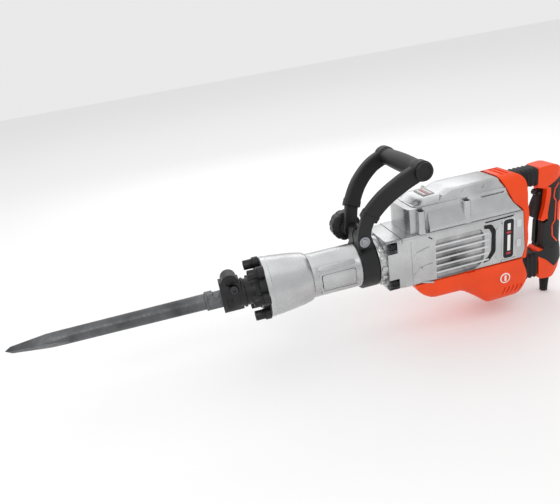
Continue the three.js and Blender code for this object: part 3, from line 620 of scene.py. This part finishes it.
def make_crank_case():
    """The square silver housing, its vents, its slits and the raised lines on its sides."""
    side = prism("y", -50, 50, [(250.4, -49), (250.4, 50), (490.6, 50), (496.6, -29), (490.6, -49)])
    section = prism("x", 249, 500, rectangle(-50, 50, -49, 50, 6))
    body = common(side, section)
    for y in (-HOUSING_HALF, HOUSING_HALF):
        window = prism("y", y - 4.3, y + 4.3, rounded([(313.5, 33, 3), (313.5, -46, 3), (392, -46, 4),
                                                        (408, -34, 4), (412, -20, 3), (412, 18, 3),
                                                        (404, 33, 4)]))
        step = prism("y", y - 1.0, y + 1.0, rectangle(245, 266.5, -60, 42, 1))
        body = cut(body, window, step)
        vent = prism("y", y - 5, y + 5, rounded(BRACKET_VENT))
        slit = prism("y", y - 5, y + 5, rounded([(412, 44, 1), (414, 41.2, 1), (470, 42.4, 1),
                                                 (473, 45.4, 1)]))
        body = cut(body, vent, slit)
    piece("crank_housing", body, "silver", "body", ["crank_case"], bevel=1.3)
    for side, tag in ((-1, "near"), (1, "far")):
        make_side_details(side, tag)


def flat_on_side(side, outline, low, high):
    """A plate on a side face, from `low` to `high` millimetres out from the middle plane."""
    near, far = sorted((side * low, side * high))
    return prism("y", near, far, outline)


def bar_between(start, end, width):
    """The outline of a straight bar with round ends."""
    a = Vector(start)
    b = Vector(end)
    along = (b - a).normalized()
    across = Vector((-along.y, along.x)) * width / 2
    outline = []
    for i in range(9):
        turn = pi / 2 - i * pi / 8
        outline.append(tuple(b + along * cos(turn) * width / 2 + across * sin(turn)))
    for i in range(9):
        turn = -pi / 2 + i * pi / 8
        outline.append(tuple(a - along * cos(turn) * width / 2 + across * sin(turn)))
    return outline


# The raised lines on each side of the housing, from and to, in X and Z.
RIDGES = [((272, 12), (285, 0)), ((276, 16), (300, 22)), ((270, -27), (284, -14)), ((284, -14), (306, -12)),
          ((286, -45), (306, -50)), ((300, 42), (312, 33)), ((296, 46), (306, 38)), ((438, 24), (446, 34)),
          ((446, 34), (470, 34)), ((436, -32), (446, -43)), ((446, -43), (476, -43))]


# The plain bars on the side plate: low end, high end, material.
LABEL_BARS = [(-31, -27, "label_red"), (-24, 8, "white"), (11, 15, "label_red"), (18, 31, "white")]


def make_side_details(side, tag):
    """The vent panel with its polished ribs, the label plate and the raised lines of one side."""
    # The vent's back panel carries painted shade and painted highlights in its colour.
    panel = flat_on_side(side, rectangle(312, 414, -48, 35, 3), 44.5, 46)
    piece(f"vent_back_{tag}", panel, "vent_painted_light", "body", bevel=0)
    bars = []
    rows = 5
    for i in range(rows):
        z = 20 - i * 13.2
        outline = rounded([(313, z - 2.1, 1), (313, z + 1.7, 1), (421, z + 2.1, 1), (421, z - 1.7, 1)])
        bars.append(flat_on_side(side, outline, 45, 50.4))
    node = "vent_panel_left" if side < 0 else "vent_panel_right"
    piece(f"vent_ribs_{tag}", merged(*bars), "silver_bright", "body", [node], bevel=1.2, segments=3)
    plate = flat_on_side(side, rectangle(448, 473, -41, 41, 8), 49, 51.2)
    piece(f"side_label_rim_{tag}", plate, "silver_bright", "body", bevel=0.7)
    field = flat_on_side(side, rectangle(450, 471, -39, 39, 6.5), 50, 51.7)
    piece(f"side_label_{tag}", field, "label", "body", bevel=0.3)
    for i, (low, high, color) in enumerate(LABEL_BARS):
        stripe = flat_on_side(side, rectangle(456 + 2 * (i % 2), 465 - (i % 2), low, high, 1), 51, 51.95)
        piece(f"side_label_bar_{tag}_{i + 1}", stripe, color, "body", bevel=0)
    ridges = []
    for start, end in RIDGES:
        ridges.append(flat_on_side(side, bar_between(start, end, 3.2), 49.0, 51.4))
    piece(f"side_ridges_{tag}", merged(*ridges), "silver", "body", bevel=0.4)
    slit = rounded([(412.5, 43.6, 1), (414.5, 41.6, 1), (469.5, 42.8, 1), (472, 45, 1)])
    slit = flat_on_side(side, slit, 44, 46.5)
    vent = flat_on_side(side, rectangle(408, 436, -39, 39, 5), 44, 45.5)
    piece(f"side_vent_floor_{tag}", merged(slit, vent), "shadow", "body", bevel=0)
    for i, z in enumerate((26, -14)):
        pad = flat_on_side(side, rectangle(478, 488, z - 8, z + 8, 3), 49.5, 51)
        piece(f"side_pad_{tag}_{i + 1}", pad, "silver_bright", "body", bevel=0.8)


def make_gear_cover():
    """The upper silver box with a screw column near each corner, and its lid."""
    profile = [(267, 50.3), (267, 97), (459.8, 97), (473.4, 67), (488.5, 50.3)]
    cover = prism("y", -40, 40, profile)
    plan = prism("z", 40, 120, rounded([(267, -52, 30), (520, -52, 1), (520, 52, 1), (267, 52, 30)], 8))
    cover = common(cover, plan)
    shoulder = prism("x", 300, 488, rounded([(-50, 50.3, 2), (-50, 58, 5), (-42, 78, 8), (-38, 95, 4),
                                             (38, 95, 4), (42, 78, 8), (50, 58, 5), (50, 50.3, 2)]))
    wedge = prism("y", -60, 60, [(303, 40), (306, 96.5), (458, 96.5), (472.8, 67), (487.5, 50.2),
                                 (487.5, 40)])
    cover = join(cover, common(shoulder, wedge))
    columns = []
    for i in range(4):
        columns.append(middle_of(f"gear_cover_screw_{i + 1}")[:2])
    for centre in columns:
        column = turned("z", [(8.5, 50.3), (7.4, 60), (7.2, 91), (6.4, 92)], 40, centre)
        cover = join(cover, column)
        cover = cut(cover, turned("z", [(5.2, 86), (5.2, 120)], 40, centre))
    for side in (-1, 1):
        inside, outside = sorted((side * 36, side * 60))
        slit = rounded([(410, 91.5, 1), (412, 88, 1), (456, 88.4, 1), (458, 92, 1)])
        slit = prism("y", inside, outside, slit)
        cover = cut(cover, slit)
    piece("gear_housing", cover, "silver", "body", ["gear_cover"], bevel=1.5)
    for i, centre in enumerate(columns):
        screw = cap_screw("z", 86.6, 4.6, 5.0, 4, centre, sign=1)
        piece(f"housing_screw_{i + 1}", screw, "black_screw", "body", [f"gear_cover_screw_{i + 1}"],
              bevel=0.25, smooth=50)
    make_lid()


def lid_section(x, half, top, low=97.3):
    """One cross-section of the lid: level top, broad bevels and a small lip."""
    outline = rounded([(-half, low, 0), (-half, low + 2, 1), (-half + 7, top - 1.5, 4),
                       (-half + 17, top, 6), (half - 17, top, 6), (half - 7, top - 1.5, 4),
                       (half, low + 2, 1), (half, low, 0)], 4)
    return [(x, y, z) for y, z in outline]


def make_lid():
    """The lid: low in front, humped behind, with a small plain plate on top."""
    stations = [(284, 29, 98.5), (286, 33, 99.5), (292, 37, 104), (298, 38.5, 107.6), (306, 38.8, 108.6),
                (334, 39, 109.3), (342, 39, 110), (352, 39, 115), (360, 39, 116.4), (380, 39, 116.8),
                (448, 38.5, 116.6), (451.5, 38, 115.5)]
    lid = loft([lid_section(*station) for station in stations])
    tail = prism("y", -39, 39, [(440, 97.3), (440, 104), (451.5, 115), (459.6, 97.3)])
    section = prism("x", 430, 470, rounded([(-38.5, 97, 0), (-37, 101, 3), (-28, 113, 4), (28, 113, 4),
                                            (37, 101, 3), (38.5, 97, 0)]))
    piece("lid_cover", lid, "silver", "body", ["lid"], bevel=0.8, smooth=25)
    piece("lid_tail", common(tail, section), "silver", "body", bevel=0.8)
    rim = prism("z", 95.5, 98.4, rounded([(281, -37, 14), (458, -41, 2), (458, 41, 2), (281, 37, 14)]))
    piece("lid_rim", rim, "silver", "body", bevel=0.8)
    plate = prism("z", 108, 109.9, rectangle(309, 333, -19, 19, 3))
    piece("lid_label", plate, "label_grey", "body", bevel=0.4)
    for i in range(3):
        line = prism("z", 109, 110.2, rectangle(313 + 6 * i, 316 + 6 * i, -15, 15, 0.8))
        piece(f"lid_label_line_{i + 1}", line, "label_red" if i == 1 else "white", "body", bevel=0)
    for side, tag in ((-1, "near"), (1, "far")):
        ridges = []
        for x in (330, 372, 414):
            outline = [(x, 101), (x + 3, 101), (x + 9, 110), (x + 6, 110)]
            inside, outside = sorted((side * 30, side * 38.2))
            ridges.append(prism("y", inside, outside, outline))
        piece(f"lid_ridges_{tag}", merged(*ridges), "silver", "body", bevel=0.4)


# ---------------------------------------------------------------- orange housings

def housing_ring(x, half, low, high=-49.4):
    """One cross-section of the motor housing: straight sides over a bevelled, rounded bottom."""
    tall = high - low
    bevel = min(20, tall * 0.35)
    outline = rounded([(-half, high, 0), (-half, low + bevel, 8), (-half + bevel * 0.55, low, 7),
                       (half - bevel * 0.55, low, 7), (half, low + bevel, 8), (half, high, 0)], 5)
    return [(x, y, z) for y, z in outline]


def make_lower_housing():
    """The orange motor housing: shallow in front, with a deep tail for the brushes."""
    stations = [(272, 49, -53), (275, 49.6, -60), (281, 50, -69), (290, 50, -78), (297, 50, -83),
                (304, 50, -87), (313, 50, -89.6), (330, 50, -90), (364, 50, -90.5), (370, 50, -92),
                (377, 50, -96), (388, 50, -104), (400, 50, -113), (409, 50, -120), (418, 50, -128),
                (424, 50, -132.5), (429, 50, -134), (450, 50, -134), (488, 50, -133), (494, 50, -130.5),
                (500, 49.5, -125), (504, 49, -119), (507, 47, -108)]
    shell = loft([housing_ring(*station) for station in stations])
    rear = prism("y", -60, 60, rounded([(262, -40, 0), (492, -40, 0), (493, -56, 4), (501, -74, 6),
                                        (506, -92, 6), (509, -112, 4), (509, -150, 0),
                                        (262, -150, 0)]))
    shell = common(shell, rear)
    for side in (-1, 1):
        for i in range(5):
            x = 450 + 9 * i
            groove = prism("y", *sorted((side * 30, side * 60)), bar_between((x, -124), (x + 7, -104), 2.6))
            shell = cut(shell, cut(groove, block((x - 20, -45.5, -140), (x + 20, 45.5, -90))))
        notch = prism("y", *sorted((side * 46, side * 60)), rectangle(375, 392, -51.4, -48, 1))
        shell = cut(shell, notch)
    piece("motor_housing", shell, "orange", "body", ["lower_housing"], bevel=0.9, smooth=30)
    for side, tag in ((-1, "near"), (1, "far")):
        disc = turned("y", [(10.6, side * 49), (10.6, side * 50.6), (10.0, side * 50.9)], 48, (456, -82))
        piece(f"emblem_{tag}", disc, "white", "body", bevel=0, smooth=30)
        inner = turned("y", [(8.3, side * 49), (8.3, side * 51.1)], 48, (456, -82))
        piece(f"emblem_field_{tag}", inner, "orange", "body", bevel=0.2, smooth=30)
        dot = prism("y", *sorted((side * 50.4, side * 51.5)), rectangle(454, 458, -88, -76, 1.8))
        piece(f"emblem_bar_{tag}", dot, "white", "body", bevel=0)


def make_rear_cover():
    """The orange shell behind the silver housings, stepped on top and wavy at the back."""
    profile = rounded([(452.6, 117.4, 0), (461.0, 97.3, 0), (474.6, 67.2, 2), (491.6, 51.2, 4),
                       (497.6, -29, 3),
                       (491.6, -49, 0), (500, -49, 2), (501.5, -30, 4), (503.5, -10, 5), (501.5, 12, 5),
                       (503.5, 36, 5), (501.8, 56, 5), (503.6, 74, 4), (502, 104, 8), (494, 114, 6),
                       (480, 118, 4)])
    whole = prism("y", -50.4, 50.4, profile)
    section = prism("x", 440, 520, rounded([(50.4, -49, 0), (50.4, 50, 8), (46, 66, 6), (43, 95, 8),
                                            (33, 113, 8),
                                            (20, 118, 6), (-20, 118, 6), (-33, 113, 8), (-43, 95, 8),
                                            (-46, 66, 6), (-50.4, 50, 8), (-50.4, -49, 0)]))
    whole = common(whole, section)
    for i in range(3):
        x = 462 + 9 * i
        whole = cut(whole, prism("y", -24, 24, [(x, 116.2), (x + 6, 115.6), (x + 7.5, 121), (x, 121)]))
    piece("rear_shell", whole, "orange", "body", ["rear_cover"], bevel=1.4, smooth=28)


# ---------------------------------------------------------------- rear handle

def bellows_skin(name, node, start, end, low, high, half, folds):
    """A folded rubber sleeve between the housing and the rear handle."""
    rings = []
    middle = (low + high) / 2
    tall = (high - low) / 2
    steps = folds * 8
    for i in range(steps + 1):
        share = i / steps
        x = start + share * (end - start)
        depth = 2.6 * (0.5 - 0.5 * cos(2 * pi * folds * share)) - 2.6
        wide = half + depth
        high_now = tall + depth
        outline = rectangle(-wide, wide, middle - high_now, middle + high_now, 11, 6)
        rings.append([(x, y, z) for y, z in outline])
    obj = loft(rings)
    obj.name = name
    obj.data.name = name
    obj.data.materials.append(MATERIALS["rubber"])
    obj.data.shade_smooth()
    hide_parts(node)
    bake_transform(obj)


def make_bellows():
    """The two folded sleeves around the rear handle's springs."""
    bellows_skin("upper_bellows", "bellows_upper", 500.5, 547, 75, 112, 19.5, 5)
    bellows_skin("lower_bellows", "bellows_lower", 504, 554, -122, -66, 19.5, 5)


# Level, front, rear and half-width of the rear handle's rounded section, from the bottom up.
HANDLE_LEVELS = [(-140, 526, 601, 19.5), (-126, 526, 603, 19.5), (-108, 526, 609, 19.5),
                 (-88, 526, 612, 19.3), (-70, 540, 610, 18), (-56, 549, 607.5, 17), (-20, 551, 606, 17),
                 (30, 552, 604.5, 17), (66, 548, 603, 18), (76, 526, 602.5, 19.5), (96, 526, 602, 19.5),
                 (130, 526, 600, 19.5)]


def handle_skin(grow):
    """The handle's rounded body, grown all round."""
    sides = 64
    fullness = 0.72  # 1 gives an ellipse, less gives squarer sections
    rings = []
    for z, front, rear, half in HANDLE_LEVELS:
        middle = (front + rear) / 2
        depth = (rear - front) / 2 + grow
        ring = []
        for i in range(sides):
            turn = 2 * pi * i / sides
            u = abs(cos(turn)) ** fullness * (1 if cos(turn) > 0 else -1)
            v = abs(sin(turn)) ** fullness * (1 if sin(turn) > 0 else -1)
            ring.append((middle + depth * u, (half + grow) * v, z))
        rings.append(ring)
    return loft(rings)


def make_rear_handle():
    """The orange D handle with its black soft grip."""
    outer = rounded([(545, 111, 6), (582, 113, 15), (599, 99, 11), (603, 60, 6), (605, 0, 6),
                     (607, -40, 6), (612, -86, 8), (604, -110, 8), (588, -128, 6), (556, -125, 6),
                     (553, -62, 6), (566, -54, 8), (568, -28, 5), (568, 30, 5), (566, 66, 6),
                     (545, 71, 4)], 5)
    shell = common(prism("y", -19.5, 19.5, outer), handle_skin(0))
    hand = block((558, -30, -61), (602, 30, 3))
    core = block((577, -8, -62), (595, 8, 4))
    trigger_room = block((536, -7, 0), (585, 7, 64))
    switch_room = block((584, -8, 5), (600, 8, 57))
    shell = cut(shell, cut(hand, core), trigger_room, switch_room)
    shell = cut(shell, turned("z", [(5, -140), (5, -100)], 32, GRIP))
    piece("handle_shell", shell, "orange", "rear_handle", ["rear_handle"], bevel=2.0, smooth=28, segments=3)
    grip_rings = []
    for z, grow in ((-62, 3.0), (-58, 1.5), (-50, 0.2), (-30, -0.4), (-12, 0), (0, 0.4), (4, 0.6)):
        grip_rings.append([(x, y, z) for x, y in ellipse(18 + grow, 16.6 + grow, 64, GRIP)])
    grip = common(loft(grip_rings), block((550, -30, -70), (601.8, 30, 10)))
    piece("soft_grip", cut(grip, block((576.5, -8.4, -80), (595.5, 8.4, 20))), "rubber", "rear_handle",
          ["rear_grip"], bevel=0.8, smooth=40)
    make_handle_overlays()


# Name, material, how far it stands out, and outline in X and Z of each panel on the handle's sides.
HANDLE_PANELS = [
    ("column", "rubber", 0.5, [(566, 70, 3), (586, 80, 4), (600, 88, 4), (606, 94, 4), (608, -58, 4),
                               (563, -56, 4), (564, -6, 3), (572, 0, 3)]),
    ("flare", "rubber", 1.0, [(547, -66, 3), (565, -62, 4), (566, -52, 4), (610, -56, 3), (616, -84, 3),
                              (604, -94, 3), (590, -104, 4), (570, -84, 6), (553, -74, 4)]),
    ("field", "orange", 0.9, [(592, 33, 3), (592, -2, 3), (598, -8, 2), (610, -4, 2), (612, 33, 2),
                              (600, 38, 2)]),
]
# The orange line that runs down each side of the handle, in X and Z.
HANDLE_LINE = [(590, 72), (582, 62), (581, 46), (587, 37), (587, -4), (581, -12), (583, -36), (595, -50)]


def make_handle_overlays():
    """The soft black panels and orange lines that wrap both sides of the handle."""
    for side, tag in ((-1, "near"), (1, "far")):
        for name, material, grow, outline in HANDLE_PANELS:
            panel = common(handle_skin(grow), flat_on_side(side, rounded(outline), 7.4, 24))
            piece(f"handle_{name}_{tag}", panel, material, "rear_handle", bevel=0.5)
        strokes = []
        for start, end in zip(HANDLE_LINE, HANDLE_LINE[1:]):
            stroke = flat_on_side(side, bar_between(start, end, 2.6), 7.4, 24)
            strokes.append(common(handle_skin(1.0), stroke))
        piece(f"handle_line_{tag}", merged(*strokes), "orange", "rear_handle", bevel=0.0)
        strip = rounded([(564, 70, 3), (573, 68, 4), (574, 52, 4), (569, 6, 5), (563, 0, 4), (557, 1, 4),
                         (558, 6, 2), (563, 30, 3), (565, 58, 2)])
        band = common(handle_skin(1.2), flat_on_side(side, strip, 7.3, 24))
        piece(f"trigger_surround_{tag}", band, "orange", "rear_handle", bevel=0.6)


def make_trigger():
    """The trigger lever and the button in its lug."""
    side = rounded([(560, 63, 4), (576, 60, 3), (575, 30, 4), (571, 3, 4), (557, 1.5, 3), (541, 11, 4),
                    (548, 38, 6)], 6)
    lever = prism("y", -6.3, 6.3, side)
    lug = turned("y", [(5.4, -6.9), (6, -6.3), (6, 6.3), (5.4, 6.9)], 40, LOCK)
    lever = cut(join(lever, lug), turned("y", [(4.3, -8), (4.3, -1)], 32, LOCK))
    piece("trigger_lever", lever, "black_plastic", "trigger", ["trigger"], bevel=1.5, smooth=30, segments=3)
    button = turned("y", [(3.2, -10.4), (4, -9.6), (4, -4.5)], 36, LOCK)
    piece("lock_button_cap", button, "black_plastic", "lock_button", ["lock_button"], bevel=0.3)


def make_cord_guard():
    """The ribbed sleeve below the handle that keeps a lead from bending sharply."""
    profile = [(4.0, -164), (6.6, -166), (7.6, -165)]
    rings = 7
    for i in range(rings):
        z = -162 + i * 4.6
        radius = 7.6 + 0.32 * i
        profile.extend([(radius, z), (radius, z + 2.6), (radius - 1.2, z + 3.1), (radius - 1.2, z + 4.1)])
    profile.extend([(10.4, -129), (10.4, -124), (4.0, -124)])
    guard = turned("z", profile, 48, GRIP, tube=True)
    piece("cord_sleeve", guard, "rubber", "rear_handle", ["cord_guard"], bevel=0, smooth=40)


# ---------------------------------------------------------------- floor, light and camera

def make_stage():
    """A pale floor under a white sky."""
    reach = 9000
    corners = [(-reach, -reach), (reach, -reach), (reach, reach), (-reach, reach)]
    floor = mesh_object([(x, y, FLOOR) for x, y in corners], [(0, 1, 2, 3)])
    floor.name = "floor"
    paper = bpy.data.materials.new("paper_floor")
    paper.use_nodes = True
    shader = paper.node_tree.nodes["Principled BSDF"]
    shader.inputs["Base Color"].default_value = (0.9, 0.9, 0.9, 1)
    shader.inputs["Roughness"].default_value = 0.9
    floor.data.materials.append(paper)
    world = bpy.data.worlds.new("studio")
    world.use_nodes = True
    world.node_tree.nodes["Background"].inputs["Color"].default_value = (1, 1, 1, 1)
    world.node_tree.nodes["Background"].inputs["Strength"].default_value = 0.82
    bpy.context.scene.world = world
    bpy.context.scene.view_settings.view_transform = "Standard"


def add_light(name, place, target, size, power):
    """A rectangular lamp that faces a target; sizes in metres, places in millimetres."""
    data = bpy.data.lights.new(name, "AREA")
    data.shape = "RECTANGLE"
    data.size = size[0]
    data.size_y = size[1]
    data.energy = power
    lamp = bpy.data.objects.new(name, data)
    bpy.context.collection.objects.link(lamp)
    lamp.location = ORIGIN + Vector(place) * MM
    towards = ORIGIN + Vector(target) * MM - lamp.location
    lamp.rotation_euler = towards.to_track_quat("-Z", "Y").to_euler()


def make_lights():
    """A soft light overhead, one from the front left and one from behind."""
    add_light("overhead", (200, 600, 3200), (200, 400, 0), (5.0, 5.0), 34)
    add_light("key", (-900, -1500, 1500), (150, 0, 0), (1.0, 0.7), 9)
    add_light("rim", (500, 1500, 900), (200, 0, 40), (2.0, 0.6), 5)


def make_camera():
    """A wide camera near the chisel's side, turned a little and rolled."""
    data = bpy.data.cameras.new("camera")
    data.sensor_width = 36
    data.lens = 32.14
    data.clip_start = 0.05
    data.clip_end = 60
    camera = bpy.data.objects.new("camera", data)
    bpy.context.collection.objects.link(camera)
    right = Vector((0.9616, -0.227, -0.1564)).normalized()
    ahead = Vector((0.1502, 0.908, -0.391)).normalized()
    up = right.cross(ahead).normalized()
    turn = Matrix((right, up, -ahead)).transposed()
    place = ORIGIN + Vector((-95.4, -810.3, 408.9)) * MM
    camera.matrix_world = Matrix.Translation(place) @ turn.to_4x4()
    bpy.context.scene.camera = camera


# ---------------------------------------------------------------- build

make_camera()
make_stage()
make_lights()
dress_carried_nodes()
make_chisel()
make_front_cover()
make_retainer_pin()
make_cover_bolts()
make_cylinder_case()
make_barrel_pads()
make_side_handle()
make_clamp()
make_crank_case()
make_gear_cover()
make_lower_housing()
make_rear_cover()
make_bellows()
make_rear_handle()
make_trigger()
make_cord_guard()
